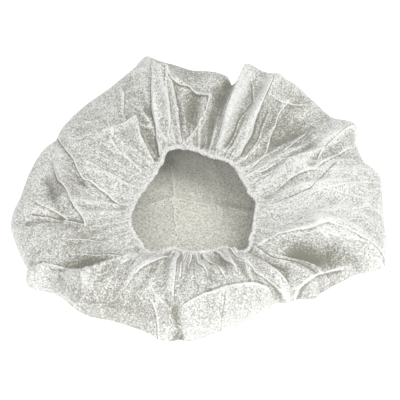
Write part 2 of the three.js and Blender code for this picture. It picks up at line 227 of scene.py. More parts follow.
# Creases over the main folds, in the same columns. Where the lean is large, one side is nearly upright
# and the crease hangs over it.
CREASES = table(FOLD_COLUMNS, [
    # back, from the left corner to the notch
    [122, 0.02, 112, 0.36, 0.04, 0.09, 0.03, -0.8],
    [112, 0.36, 106, 0.72, 0.09, 0.07, 0.03, -0.8],
    [110, 0.07, 105, 0.32, 0.03, 0.05, 0.016, 0.5],
    [105, 0.32, 101, 0.68, 0.05, 0.04, 0.016, 0.5],
    [101, 0.04, 100, 0.3, 0.04, 0.08, 0.024, 0.8],
    [100, 0.3, 100, 0.55, 0.08, 0.06, 0.024, 0.8],
    [103.5, 0.46, 102.5, 0.65, -0.06, -0.06, 0.014, 0],
    [96, 0.05, 84, 0.32, 0.04, 0.08, 0.022, -0.8],
    [84, 0.32, 82, 0.45, 0.08, 0.08, 0.022, -0.8],
    [103, 0.62, 92, 0.55, 0.06, 0.08, 0.024, 0.7],
    [92, 0.55, 82, 0.46, 0.08, 0.08, 0.024, 0.7],
    # back right lobes
    [70.5, 0.05, 71, 0.86, 0.05, 0.11, 0.03, -0.8],
    [64, 0.08, 63, 0.5, -0.03, -0.05, 0.016, 0],
    [63, 0.5, 67, 0.72, -0.05, -0.06, 0.018, 0],
    [52, 0.08, 56, 0.4, 0.04, 0.08, 0.026, 0.8],
    [56, 0.4, 61, 0.76, 0.08, 0.07, 0.026, 0.8],
    [35, 0.05, 39, 0.24, 0.03, 0.04, 0.012, 0.3],
    [39, 0.24, 47, 0.4, 0.04, 0.04, 0.012, 0.3],
    [47, 0.4, 52, 0.76, 0.04, 0.03, 0.012, 0],
    [57, 0.62, 47, 0.86, 0.03, 0.02, 0.012, 0],
    [33, 0.08, 33, 0.32, 0.02, 0.03, 0.012, 0],
    [33, 0.32, 37, 0.66, 0.03, 0.03, 0.012, 0],
    [48, 0.1, 54, 0.5, -0.02, -0.03, 0.014, 0],
    [17, 0.05, 20, 0.36, 0.04, 0.09, 0.028, -0.8],
    [20, 0.36, 22, 0.66, 0.09, 0.08, 0.028, -0.8],
    [19, 0.6, 30, 0.96, 0.06, 0.08, 0.024, -0.6],
    [28, 0.12, 27, 0.5, 0.02, 0.03, 0.012, 0],
    # right
    [355, 0.1, 1, 0.4, -0.02, -0.03, 0.014, 0],
    [1, 0.4, 14, 0.66, -0.03, -0.04, 0.014, 0],
    [9, 0.12, 13, 0.5, 0.02, 0.03, 0.014, 0.3],
    [14, 0.5, 21, 0.88, 0.03, 0.03, 0.014, 0.3],
    [350, 0.2, 6, 0.9, 0.015, 0.025, 0.012, 0],
    [309, 0.03, 328, 0.27, 0.02, 0.04, 0.014, 0.5],
    [328, 0.27, 342, 0.57, 0.04, 0.06, 0.018, 0.5],
    [342, 0.57, 341, 0.98, 0.06, 0.06, 0.022, 0.6],
    [336, 0.2, 350, 0.6, 0.015, 0.02, 0.012, 0],
    [312, 0.12, 325, 0.88, 0.04, 0.1, 0.028, -0.8],
    [313, 0.28, 322, 0.88, -0.06, -0.06, 0.016, 0],
    [309, 0.4, 314, 0.76, -0.04, -0.05, 0.014, 0],
    [314, 0.97, 332, 0.96, 0.05, 0.04, 0.016, 0.5],
    # front
    [300, 0.02, 312, 0.86, 0.05, 0.03, 0.026, -0.7],
    [297, 0.03, 301, 0.7, 0.05, 0.04, 0.024, 0.7],
    [301, 0.7, 312, 0.96, 0.04, 0.03, 0.02, 0.7],
    [293, 0.1, 300, 0.6, 0.015, 0.02, 0.012, 0],
    [284, 0.76, 303, 0.9, 0.05, 0.04, 0.016, -0.5],
    [274, 0.77, 284, 0.76, 0.05, 0.05, 0.016, -0.5],
    [266, 0.83, 274, 0.77, 0.04, 0.05, 0.016, -0.5],
    [287, 0.03, 292, 0.5, 0.07, 0.03, 0.018, 0.4],
    [277, 0.03, 285, 0.62, 0.08, 0.04, 0.02, 0.4],
    [272, 0.03, 276, 0.46, 0.08, 0.04, 0.018, 0.4],
    [267, 0.03, 268, 0.32, 0.07, 0.03, 0.016, -0.4],
    [262, 0.03, 263, 0.5, 0.08, 0.05, 0.02, -0.4],
    [257, 0.1, 261, 0.74, 0.05, 0.05, 0.018, -0.6],
    [254, 0.08, 243, 0.6, 0.05, 0.06, 0.02, -0.7],
    [282, 0.8, 280, 1.03, -0.02, -0.02, 0.012, 0],
    [252, 0.86, 257, 1.04, 0.02, 0.03, 0.018, 0],
    # left
    [244, 0.03, 235, 0.27, 0.05, 0.09, 0.026, 0.8],
    [235, 0.27, 226, 0.75, 0.09, 0.11, 0.03, 0.8],
    [226, 0.75, 210, 0.9, 0.11, 0.11, 0.03, 0.8],
    [210, 0.9, 206, 1.04, 0.11, 0.08, 0.03, 0.8],
    [228, 0.3, 213, 0.6, 0.02, 0.02, 0.014, 0],
    [216, 0.2, 203, 0.6, 0.02, 0.02, 0.014, 0],
    [198, 0.36, 188, 0.84, 0.05, 0.09, 0.024, 0.8],
    [197, 0.36, 186, 0.48, 0.04, 0.08, 0.022, -0.8],
    [186, 0.48, 167, 0.74, 0.08, 0.07, 0.024, -0.8],
    [192, 0.53, 183, 0.77, 0.04, 0.05, 0.018, -0.5],
    [183, 0.08, 169, 0.46, 0.03, 0.06, 0.022, -0.6],
    [169, 0.46, 148, 0.98, 0.06, 0.04, 0.022, -0.6],
    [166, 0.1, 160, 0.5, 0.02, 0.02, 0.013, 0],
    [148, 0.08, 143, 0.44, 0.02, 0.03, 0.013, 0],
    [132, 0.03, 127, 0.38, 0.05, 0.11, 0.03, 0.8],
    [127, 0.38, 142, 0.56, 0.11, 0.06, 0.026, 0.8],
    [130, 0.45, 119, 0.8, 0.02, 0.03, 0.012, 0],
    [141, 0.46, 133, 0.6, 0.02, 0.02, 0.012, 0],
])

# Fine gathers. They are close together at the hem and run into fewer, wider ones further out.
GATHERS = table(["count", "depth", "begins", "full", "thins", "ends", "wander"], [
    [109, 0.0005, -0.09, -0.02, 0.05, 0.16, 0.9],
    [61, 0.0009, -0.06, 0.03, 0.1, 0.34, 1.6],
    [37, 0.0013, -0.04, 0.08, 0.2, 0.6, 2.0],
    [21, 0.0015, 0.04, 0.22, 0.4, 0.85, 2.4],
])

# How strongly the cloth is gathered at each side of the mouth
GATHERED_SIDES = table(["angle", "share"], [
    [0, 0.6],
    [30, 0.9],
    [60, 1.1],
    [90, 1.2],
    [115, 1.0],
    [140, 0.5],
    [170, 0.4],
    [200, 0.5],
    [230, 0.6],
    [255, 1.5],
    [285, 1.7],
    [305, 0.8],
    [325, 0.4],
    [345, 0.35],
])

# Where the cloth lies double it shows whiter, and where it is a single layer over a hollow darker. Many places
# also hold painted shade in pockets, hollows and sides turned from the light, and one painted light on the lit
# right panel: the middle of each place, its half widths in degrees and ways, and how much
LAYERS_AND_PAINTED_SHADING = table(["angle", "way", "round", "outwards", "amount"], [
    [123, 0.2, 6, 0.2, -0.3],
    [110, 0.5, 4, 0.5, 0.3],
    [92, 0.33, 6, 0.2, -0.35],
    [92, 0.86, 14, 0.1, -0.35],
    [78, 0.5, 5, 0.38, -0.4],
    [67, 0.5, 4, 0.4, 0.35],
    [42, 0.5, 10, 0.2, -0.5],
    [24, 0.8, 8, 0.15, 0.15],
    [352, 0.5, 24, 0.35, 0.4],
    [326, 0.64, 6, 0.2, -1.3],
    [328, 0.8, 14, 0.25, -0.3],
    [308, 0.5, 7, 0.4, -0.2],
    [320, 1.05, 14, 0.06, -0.6],
    [280, 0.14, 22, 0.1, -0.1],
    [282, 0.5, 26, 0.3, -0.12],
    [262, 0.86, 5, 0.12, -0.3],
    [236, 1.0, 24, 0.12, -0.5],
    [222, 0.6, 11, 0.2, -0.6],
    [205, 0.5, 14, 0.3, -0.15],
    [178, 0.62, 9, 0.13, -0.35],
    [163, 0.8, 12, 0.12, 0.15],
])

# Small wrinkles all over the cloth, as ridges between hollows of a width
WRINKLES = table(["width", "depth", "seed"], [
    [0.046, 0.0018, 11],
    [0.022, 0.0007, 12],
    [0.011, 0.0004, 13],
])

# Raised creases of the cloth on the floor, seen through the mouth, as shares of the mouth's radius
FLOOR_CREASES = table(["x_in", "y_in", "x_out", "y_out", "rise", "width"], [
    [-0.39, 1.35, -0.34, 0.62, 0.0026, 0.0028],
    [-0.34, 0.62, 0.16, 0.48, 0.0022, 0.0028],
    [0.16, 0.48, 0.88, 0.35, 0.002, 0.0032],
    [-0.34, 0.62, -0.7, 0.52, 0.0022, 0.003],
    [-0.34, 0.62, -0.3, -0.1, 0.0016, 0.004],
    [0.3, 1.4, 0.5, 0.7, 0.0016, 0.004],
])


def smoothstep(x, low, high):
    t = np.clip((x - low) / (high - low), 0, 1)
    return t * t * (3 - 2 * t)


def around(rows, column, angle):
    """A column at any angles, on a smooth closed curve through the rows that never overshoots them."""
    at = np.radians([row["angle"] for row in rows])
    value = np.array([row[column] for row in rows], float)
    first = at[0]
    at = np.concatenate([at[-2:] - TURN, at, at[:3] + TURN])
    value = np.concatenate([value[-2:], value, value[:3]])
    slope = np.diff(value) / np.diff(at)
    before, after = slope[:-1], slope[1:]
    rising = before * after > 0
    tangent = np.zeros(len(value))
    tangent[1:-1][rising] = (2 * before * after)[rising] / (before + after)[rising]
    a = (angle - first) % TURN + first
    i = np.searchsorted(at, a, side="right") - 1
    span = at[i + 1] - at[i]
    u = (a - at[i]) / span
    v = 1 - u
    ends = value[i] * (1 + 2 * u) * v * v + value[i + 1] * (3 - 2 * u) * u * u
    return ends + tangent[i] * span * u * v * v - tangent[i + 1] * span * u * u * v


def reach_at(angle, way):
    at_rim = MOUTH_RADIUS * around(RIM, "reach", angle) + HEM_DEPTH
    at_edge = CAP_REACH * around(OUTLINE, "reach", angle)
    return at_rim + (at_edge - at_rim) * way


def smooth_form(angle, way):
    """Radius and height of the sheet without its folds."""
    edge = PUFF_HEIGHT * around(OUTLINE, "edge", angle)
    crest = PUFF_HEIGHT * around(OUTLINE, "crest", angle)
    at_rim = MOUTH_HEIGHT * around(RIM, "height", angle)
    fall = np.clip((way - CREST_WAY) / (1 - CREST_WAY), 0, 1)
    climb = at_rim + (crest - at_rim) * smoothstep(way, 0, CREST_WAY)
    over = edge + (crest - edge) * (1 - fall**CREST_FLATNESS) ** (1 / CREST_FLATNESS)
    turn = np.clip(way - 1, 0, 1) * math.pi / 2
    foot = reach_at(angle, 1) - UNDER_TURN
    under_radius = foot + UNDER_TURN * np.cos(turn)
    floor_radius = foot * (3 - way)
    radius = np.where(way <= 1, reach_at(angle, way), np.where(way <= 2, under_radius, floor_radius))
    height = np.where(way <= CREST_WAY, climb, np.where(way <= 1, over, edge * (1 - np.sin(turn))))
    return radius, height


def smooth_normal(angle, way):
    """Outward normal of the smooth form in its upright plane, as parts along the radius and the height."""
    step = 0.004
    r0, z0 = smooth_form(angle, way - step)
    r1, z1 = smooth_form(angle, np.minimum(way + step, 3))
    nr, nz = z0 - z1, r1 - r0
    size = np.hypot(nr, nz)
    return nr / size, nz / size


def plan_point(angle, way):
    radius = reach_at(angle, np.minimum(way, 1))
    return radius * np.cos(angle), radius * np.sin(angle)


def from_segment(x, y, x0, y0, x1, y1):
    """A segment's x and y, how far along it each point lies, and the point's way off it in x and y."""
    dx, dy = x1 - x0, y1 - y0
    along = np.clip(((x - x0) * dx + (y - y0) * dy) / (dx * dx + dy * dy), 0, 1)
    return dx, dy, along, x - x0 - along * dx, y - y0 - along * dy


def fold_ends(fold):
    inner = plan_point(np.radians(float(fold["angle_in"])), fold["way_in"])
    outer = plan_point(np.radians(float(fold["angle_out"])), fold["way_out"])
    return *inner, *outer


def floor_crease_ends(crease):
    return [crease[name] * MOUTH_RADIUS for name in ("x_in", "y_in", "x_out", "y_out")]


def fold_move(fold, x, y, sharpness):
    """How far one fold lifts each point of the plan, and how far it moves it in x and y."""
    dx, dy, along, ax, ay = from_segment(x, y, *fold_ends(fold))
    side = np.sign(dx * ay - dy * ax)
    width = fold["width"] * CAP_REACH * (1 + side * fold["lean"])
    rise = PUFF_HEIGHT * (fold["rise_in"] + (fold["rise_out"] - fold["rise_in"]) * along)
    lift = rise * np.exp(-((np.hypot(ax, ay) / width) ** sharpness))
    # A leaning fold hangs over its steep side, which is on the right for a lean above 0
    over = OVERHANG * fold["lean"] * lift / math.hypot(dx, dy)
    return np.stack([lift, over * dy, -over * dx])


def crease_lines(rows, x, y):
    """The crease nearest to each point: how far to its steep side the point is, how far off, how strongly its
    painted line shows.
    """
    side = np.full_like(x, 1.0)
    far = np.full_like(x, 1.0)
    strength = np.zeros_like(x)
    for ends, rise, lean in rows:
        dx, dy, _, ax, ay = from_segment(x, y, *ends)
        off = np.hypot(ax, ay)
        on_right = np.where(dx * ay - dy * ax < 0, 1, -1) * (1 if lean >= 0 else -1)
        nearer = off < far
        side = np.where(nearer, on_right * off, side)
        far = np.where(nearer, off, far)
        shown = math.copysign(min(LEAST_LINE + abs(rise) * LINE_PER_RISE, 1), rise)
        strength = np.where(nearer, shown, strength)
    return side, far, strength


def cloth_layers_and_painted_shading(angle, way):
    """How much whiter the cloth shows for lying double and for painted light, below 0 where it is single over
    a hollow and for painted shade.
    """
    total = np.zeros_like(way)
    for place in LAYERS_AND_PAINTED_SHADING:
        turn = (np.degrees(angle) - place["angle"] + 180) % 360 - 180
        off = np.hypot(turn / place["round"], (way - place["way"]) / place["outwards"])
        total += place["amount"] * np.exp(-(off**3))
    return total


def sheet_lines(angle, way, px, py):
    """Where the painted crease lines lie: of the upper cloth from the creases' places, and of the floor from
    its own.
    """
    x, y = plan_point(angle, way)
    rng = np.random.default_rng(5)
    bends = [wave_sum(x, y, rng, 6, LINE_WANDER_LENGTH, (0.8, 1.8)) * LINE_WANDER for _ in range(2)]
    above = [
        (fold_ends(row), max(row["rise_out"], row["rise_in"], key=abs), row["lean"]) for row in CREASES
    ]
    below = [(floor_crease_ends(row), row["rise"] / PUFF_HEIGHT, 0) for row in FLOOR_CREASES]
    upper = crease_lines(above, x + bends[0], y + bends[1])
    floor = crease_lines(below, px + bends[0], py + bends[1])
    return [np.where(way < 1.5, a, b) for a, b in zip(upper, floor)]


def wave_sum(x, y, rng, waves, length, spread):
    """Waves in random directions over the plan, of a length times a random share, about from -1 to 1."""
    total = np.zeros_like(x)
    for _ in range(waves):
        heading = rng.uniform(0, TURN)
        pace = TURN / (length * rng.uniform(*spread))
        total += np.sin(pace * (x * math.cos(heading) + y * math.sin(heading)) + rng.uniform(0, TURN))
    return total / math.sqrt(waves)


def ring_noise(angle, rng, slowest, fastest):
    """A smooth uneven value round the mouth, about from -1 to 1."""
    total = np.zeros_like(angle)
    waves = range(slowest, fastest + 1)
    for count in waves:
        total += rng.uniform(0.4, 1) * np.sin(count * angle + rng.uniform(0, TURN))
    return total / math.sqrt(len(waves))


def gather_lift(row, angle, way, seed):
    """One set of gathers: ridges with narrow valleys between them, uneven in depth and place."""
    rng = np.random.default_rng(seed)
    drift = row["wander"] * (ring_noise(angle, rng, 3, 9) + way * 2 * ring_noise(angle, rng, 4, 14))
    wave = 1 - 2 * np.abs(np.sin((row["count"] * angle + drift) / 2)) ** 0.8
    uneven = np.clip(0.8 + 0.75 * ring_noise(angle, rng, 3, 17), 0, 2)
    longer = 1 + 0.45 * ring_noise(angle, rng, 5, 29)
    thinned = smoothstep(way / np.clip(longer, 0.4, 1.8), row["thins"], row["ends"])
    shown = smoothstep(way, row["begins"], row["full"]) * (1 - thinned)
    return wave * row["depth"] * uneven * shown * around(GATHERED_SIDES, "share", angle)


def wrinkle_lift(row, x, y):
    """Ridges where a sum of waves in random directions passes zero, hollows between them."""
    waves = wave_sum(x, y, np.random.default_rng(row["seed"]), 9, row["width"], (1.4, 2.8))
    return row["depth"] * (0.5 - np.minimum(np.abs(waves), 1.2))


def sheet_rows():
    """The ways of the rows of the sheet: close together by the hem, wide apart under the cap."""
    upper = SHEET_START + (1 - SHEET_START) * np.linspace(0, 1, UPPER_ROWS) ** UPPER_CROWDING
    return np.concatenate([upper, np.linspace(*UNDER_WAYS), np.linspace(*FLOOR_WAYS)])


def sheet_grid():
    """Points of the sheet in rows from the hem to the middle of the floor, their ways and crease lines."""
    ways = sheet_rows()
    angle, way = np.meshgrid(COLUMN_ANGLES, ways)
    radius, height = smooth_form(angle, way)
    nr, nz = smooth_normal(angle, way)
    x, y = plan_point(angle, way)
    main = sum(fold_move(fold, x, y, FOLD_SHARPNESS) for fold in FOLDS)
    thin = sum(fold_move(crease, x, y, CREASE_SHARPNESS) for crease in CREASES)
    spread = 1 + UNDER_STRETCH * np.clip(way - 1, 0, 1)
    small = sum(wrinkle_lift(row, x * spread, y * spread) for row in WRINKLES)
    held = smoothstep(way, 0, FOLDS_HELD) * (1 - smoothstep(way, *FOLDS_FADE))
    lift, over_x, over_y = (MAIN_SHARE * main + THIN_SHARE * thin) * held
    lift += small * smoothstep(way, 0.02, 0.3) * (1 - 0.75 * smoothstep(way, 0.75, 0.98))
    lift += sum(gather_lift(row, angle, way, 31 + i) for i, row in enumerate(GATHERS))
    px = (radius + nr * lift) * np.cos(angle) + over_x
    py = (radius + nr * lift) * np.sin(angle) + over_y
    pz = height + nz * lift
    on_floor = smoothstep(way, *ON_FLOOR)
    pz = pz * (1 - on_floor) + floor_height(px, py) * on_floor
    pz -= HEM_TUCK * (1 - smoothstep(way, SHEET_START, 0))
    pz = np.maximum(pz, CLOTH_THICKNESS)
    return np.stack([px, py, pz], axis=-1), way, sheet_lines(angle, way, px, py)


def stand_proud(points, rows, columns):
    """How far each point stands out of the cloth round it, smoothed by the given passes."""
    smooth = np.stack([blurred(points[..., i], rows, columns) for i in range(3)], axis=-1)
    out = np.cross(np.gradient(smooth, axis=0), np.gradient(smooth, axis=1))
    out /= np.linalg.norm(out, axis=-1, keepdims=True)
    return ((points - smooth) * out).sum(axis=-1)


def blurred(grid, rows, columns):
    """The grid smoothed by a number of passes along its rows and round its columns."""
    for _ in range(columns):
        grid = (np.roll(grid, 1, axis=1) + 2 * grid + np.roll(grid, -1, axis=1)) / 4
    for _ in range(rows):
        padded = np.concatenate([grid[:1], grid, grid[-1:]])
        grid = (padded[:-2] + 2 * padded[1:-1] + padded[2:]) / 4
    return grid


def floor_height(x, y):
    """Height of the cloth that lies on the floor."""
    rise = np.zeros_like(x)
    for crease in FLOOR_CREASES:
        _, _, _, ax, ay = from_segment(x, y, *floor_crease_ends(crease))
        rise = np.maximum(rise, crease["rise"] * np.exp(-((np.hypot(ax, ay) / crease["width"]) ** 1.3)))
    ripple = sum(wrinkle_lift(row, x + 1, y) for row in WRINKLES[:2])
    return CLOTH_THICKNESS + rise + np.maximum(ripple, 0) * 0.7


def mouth_middle():
    """Where the middle of the mouth lies in the frame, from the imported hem's box and the rim's own shape."""
    samples = 120
    angle = np.arange(samples) * TURN / samples
    radius = MOUTH_RADIUS * around(RIM, "reach", angle) + HEM_DEPTH - CLEARANCE
    x, y = radius * np.cos(angle), radius * np.sin(angle)
    low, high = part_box("hem")
    middle_x = (low.x + high.x - x.min() - x.max()) / 2
    middle_y = (low.y + high.y - y.min() - y.max()) / 2
    return Vector((middle_x, middle_y, 0))


MOUTH = mouth_middle()


def make_object(name, vertices, faces):
    mesh = bpy.data.meshes.new(name)
    mesh.from_pydata(vertices, [], faces)
    mesh.validate()
    made = bpy.data.objects.new(name, mesh)
    bpy.context.scene.collection.objects.link(made)
    for polygon in mesh.polygons:
        polygon.use_smooth = True
    return made


def grid_faces(rows, columns):
    """Quads between closed rows that run anticlockwise, the first row the innermost seen from above."""
    faces = []
    for r in range(rows - 1):
        for i in range(columns):
            j = (i + 1) % columns
            low, high = r * columns, (r + 1) * columns
            faces.append((low + i, high + i, high + j, low + j))
    return faces


def bake(piece):
    """Turns a piece's modifiers into its mesh."""
    depsgraph = bpy.context.evaluated_depsgraph_get()
    made = bpy.data.meshes.new_from_object(piece.evaluated_get(depsgraph))
    piece.modifiers.clear()
    old = piece.data
    piece.data = made
    bpy.data.meshes.remove(old)
    made.name = piece.name


SETTLE_FRAMES = 16
SPARE_CLOTH = 0.06  # how much longer the cloth is than the form it settles on
MOST_SETTLE = 0.006  # the farthest that settling may move a point
LOOSENESS = 0.62  # how much less firmly the puffs are held to their form than the hem and the floor
CLOTH_SETTINGS = {
    "quality": 6,
    "mass": 0.02,
    "tension_stiffness": 30,
    "compression_stiffness": 30,
    "shear_stiffness": 10,
    "bending_stiffness": 0.02,
    "vertex_group_mass": "hold",
    "pin_stiffness": 1.0,
}


def settle(cloth, points, ways):
    """Lets the cloth buckle: it is a little too long for its form, and is held to it softly."""
    mesh = cloth.data
    top = 1 - smoothstep(ways, 0.95, 1.25)
    spare = 1 + SPARE_CLOTH * top * smoothstep(ways, 0.0, 0.12)
    cloth.shape_key_add(name="settled")
    cut = cloth.shape_key_add(name="cut")
    longer = (points * spare[:, None, None]).reshape(-1, 3) + np.array(MOUTH)
    cut.data.foreach_set("co", np.vstack([longer, [cut.data[-1].co]]).astype(np.float32).ravel())
    cut.value = 0
    hold = cloth.vertex_groups.new(name="hold")
    firmness = 1 - LOOSENESS * smoothstep(ways, 0.0, 0.08) * (1 - smoothstep(ways, 1.0, 1.3))
    for r, weight in enumerate(firmness):
        hold.add(list(range(r * COLUMNS, (r + 1) * COLUMNS)), float(weight), "REPLACE")
    hold.add([len(mesh.vertices) - 1], 1.0, "REPLACE")
    modifier = cloth.modifiers.new("settle", "CLOTH")
    for name, value in CLOTH_SETTINGS.items():
        setattr(modifier.settings, name, value)
    modifier.settings.rest_shape_key = cut
    modifier.settings.effector_weights.gravity = 0
    modifier.collision_settings.use_collision = False
    for number in range(1, SETTLE_FRAMES + 1):
        bpy.context.scene.frame_set(number)
    settled = places(cloth.evaluated_get(bpy.context.evaluated_depsgraph_get()).data)
    cloth.modifiers.clear()
    cloth.shape_key_clear()
    bpy.context.scene.frame_set(1)
    before = places(mesh)
    moved = settled - before
    far = np.linalg.norm(moved, axis=1, keepdims=True)
    settled = before + moved * np.minimum(1, MOST_SETTLE / np.maximum(far, 1e-9))
    settled[:, 2] = np.maximum(settled[:, 2], CLOTH_THICKNESS)
    mesh.vertices.foreach_set("co", settled.ravel())
    mesh.update()


def places(mesh):
    """The places of a mesh's vertices."""
    found = np.empty(len(mesh.vertices) * 3, np.float32)
    mesh.vertices.foreach_get("co", found)
    return found.reshape(-1, 3)


def flat_radius(points):
    """How far each point lies from the sheet's middle, measured along the cloth."""
    steps = np.linalg.norm(np.diff(points[::-1], axis=0), axis=-1)
    inner = np.hypot(*points[-1:, :, :2].transpose(2, 0, 1))
    return blurred(np.concatenate([inner, steps]).cumsum(axis=0)[::-1], *FLAT_PASSES)


def store_flat_places(mesh, flat):
    """The place of each point on the flat sheet, as a UV map."""
    u = 0.5 + flat * np.cos(COLUMN_ANGLES) / SHEET_SPAN
    v = 0.5 + flat * np.sin(COLUMN_ANGLES) / SHEET_SPAN
    places_on_sheet = np.column_stack([np.append(u.ravel(), 0.5), np.append(v.ravel(), 0.5)])
    loop_vertices = np.empty(len(mesh.loops), np.int32)
    mesh.loops.foreach_get("vertex_index", loop_vertices)
    uv = mesh.uv_layers.new(name="flat_sheet")
    uv.data.foreach_set("uv", places_on_sheet[loop_vertices].astype(np.float32).ravel())


def sheet_tones(points, way, flat):
    """What the look of the cloth follows at each point, by name."""
    on_top = 1 - smoothstep(way, 1.2, 1.8)
    # Painted light on the cloth on the floor, most under the back of the rim where the rim's shade falls
    floor_painted_light = FLOOR_PAINTED_LIGHT + UNDER_RIM_PAINTED_LIGHT * smoothstep(points[..., 1], *UNDER_RIM)
    around_cloth = np.linalg.norm(points - np.roll(points, 1, axis=1), axis=-1).mean(axis=1)
    return {
        # How closely the cloth is gathered, from 0 flat to 1 at the hem
        "gathered": 1 - np.clip(around_cloth[:, None] * COLUMNS / (TURN * flat), 0, 1),
        # Painted highlight on narrow ridges, and painted shade, partly thinner single cloth, in valleys and
        # broad hollows
        "ridge": np.clip(stand_proud(points, *RIDGE_PASSES) / RIDGE_HIGHLIGHT_FULL, -1, 1) * on_top,
        "valley": np.clip(-stand_proud(points, *VALLEY_PASSES) / VALLEY_SHADE_FULL, MOST_RAISED, 1) * on_top,
        "hollow": np.clip(-stand_proud(points, *HOLLOW_PASSES) / HOLLOW_SHADE_FULL, MOST_RAISED, 1) * on_top,
        # Double and single cloth with painted shade and painted light, and on the floor painted light
        "layers": cloth_layers_and_painted_shading(COLUMN_ANGLES[None, :], way) * on_top + floor_painted_light * (1 - on_top),
        "floor": 1 - on_top,
    }


def make_cloth():
    """The puffed cloth as one closed thin sheet."""
    points, way, lines = sheet_grid()
    rows = points.shape[0]
    flat = flat_radius(points)
    vertices = (points.reshape(-1, 3) + np.array(MOUTH)).tolist()
    faces = grid_faces(rows, COLUMNS)
    centre = len(vertices)
    vertices.append((MOUTH.x, MOUTH.y, float(points[-1, :, 2].mean())))
    last = (rows - 1) * COLUMNS
    faces += [(last + (i + 1) % COLUMNS, last + i, centre) for i in range(COLUMNS)]
    cloth = make_object("puffed_cloth", vertices, faces)
    mesh = cloth.data
    store_flat_places(mesh, flat)
    if float(mesh.polygons[COLUMNS * 20].normal.z) < 0:
        mesh.flip_normals()
    settle(cloth, points, way[:, 0])
    points = places(mesh)[:-1].reshape(points.shape) - np.array(MOUTH)
    tones = sheet_tones(points, way, flat)
    tones.update(zip(("crease_side", "crease_far", "crease_strength"), lines))
    for name, values in tones.items():
        store = mesh.attributes.new(name, "FLOAT", "POINT")
        store.data.foreach_set("value", np.append(values.ravel(), values[-1].mean()).astype(np.float32))
    add_wall(cloth)
    bake(cloth)
    return cloth


def add_wall(piece):
    """Gives a sheet the thickness of the cloth, inwards from its face."""
    wall = piece.modifiers.new("wall", "SOLIDIFY")
    wall.thickness = CLOTH_THICKNESS
    wall.offset = -1


def rim_line(count):
    """Points along the middle of the hem."""
    angle = np.arange(count) * TURN / count
    rng = np.random.default_rng(8)
    radius = MOUTH_RADIUS * around(RIM, "reach", angle) + HEM_DEPTH / 2
    radius += HEM_WAVER * ring_noise(angle, rng, 9, 45)
    height = MOUTH_HEIGHT * around(RIM, "height", angle) - HEM_DROP
    height += HEM_WAVER * ring_noise(angle, rng, 9, 45)
    points = np.column_stack([radius * np.cos(angle), radius * np.sin(angle), height])
    return points + np.array(MOUTH)


class Nodes:
    """A short way to add nodes to a tree and to link them."""

    def __init__(self, tree):
        self.tree = tree

    def link(self, source, target):
        self.tree.links.new(source, target)

    def add(self, kind, inputs=None, **settings):
        """A node with its settings, and with values or links put in by an input's name or number."""
        node = self.tree.nodes.new(kind)
        for name, value in settings.items():
            setattr(node, name, value)
        for name, value in (inputs or {}).items():
            if isinstance(value, bpy.types.NodeSocket):
                self.link(value, node.inputs[name])
            else:
                node.inputs[name].default_value = value
        return node.outputs

    def math(self, operation, a, b=0.0, clamp=False):
        return self.add("ShaderNodeMath", {0: a, 1: b}, operation=operation, use_clamp=clamp)[0]

    def vector(self, operation, inputs):
        return self.add("ShaderNodeVectorMath", inputs, operation=operation)

    def total(self, *parts):
        """The sum of some values, each times its share."""
        result = 0.0
        for value, share in parts:
            result = self.math("ADD", result, self.math("MULTIPLY", value, share))
        return result

    def noise(self, vector, scale, detail=2.0, roughness=0.5, distortion=0.0):
        values = {"Scale": scale, "Detail": detail, "Roughness": roughness, "Distortion": distortion}
        return self.add("ShaderNodeTexNoise", {"Vector": vector, **values})[0]

    def ramp(self, value, low, high):
        inputs = {"Value": value, "From Min": low, "From Max": high}
        return self.add("ShaderNodeMapRange", inputs, clamp=True)[0]

    def mix(self, share, a, b):
        return self.add("ShaderNodeMix", {0: share, 6: a, 7: b}, data_type="RGBA")[2]

    def attribute(self, name):
        return self.add("ShaderNodeAttribute", attribute_name=name)["Fac"]

    def keep(self, geometry, name, value):
        """Keeps a value on a geometry's points, and gives the geometry and the kept value."""
        node = self.tree.nodes.new("GeometryNodeCaptureAttribute")
        node.domain = "POINT"
        node.capture_items.new("FLOAT", name)
        self.link(geometry, node.inputs["Geometry"])
        self.link(value, node.inputs[name])
        return node.outputs["Geometry"], node.outputs[name]


def new_tree(name, kind, inputs, outputs):
    """A node tree with inputs of a name, kind and value, and outputs of a name and kind."""
    tree = bpy.data.node_groups.new(name, kind)
    for label, socket_kind, value in inputs:
        socket = tree.interface.new_socket(label, in_out="INPUT", socket_type="NodeSocket" + socket_kind)
        if value is not None:
            socket.default_value = value
    for label, socket_kind in outputs:
        tree.interface.new_socket(label, in_out="OUTPUT", socket_type="NodeSocket" + socket_kind)
    n = Nodes(tree)
    return n, n.add("NodeGroupInput"), tree.nodes.new("NodeGroupOutput").inputs


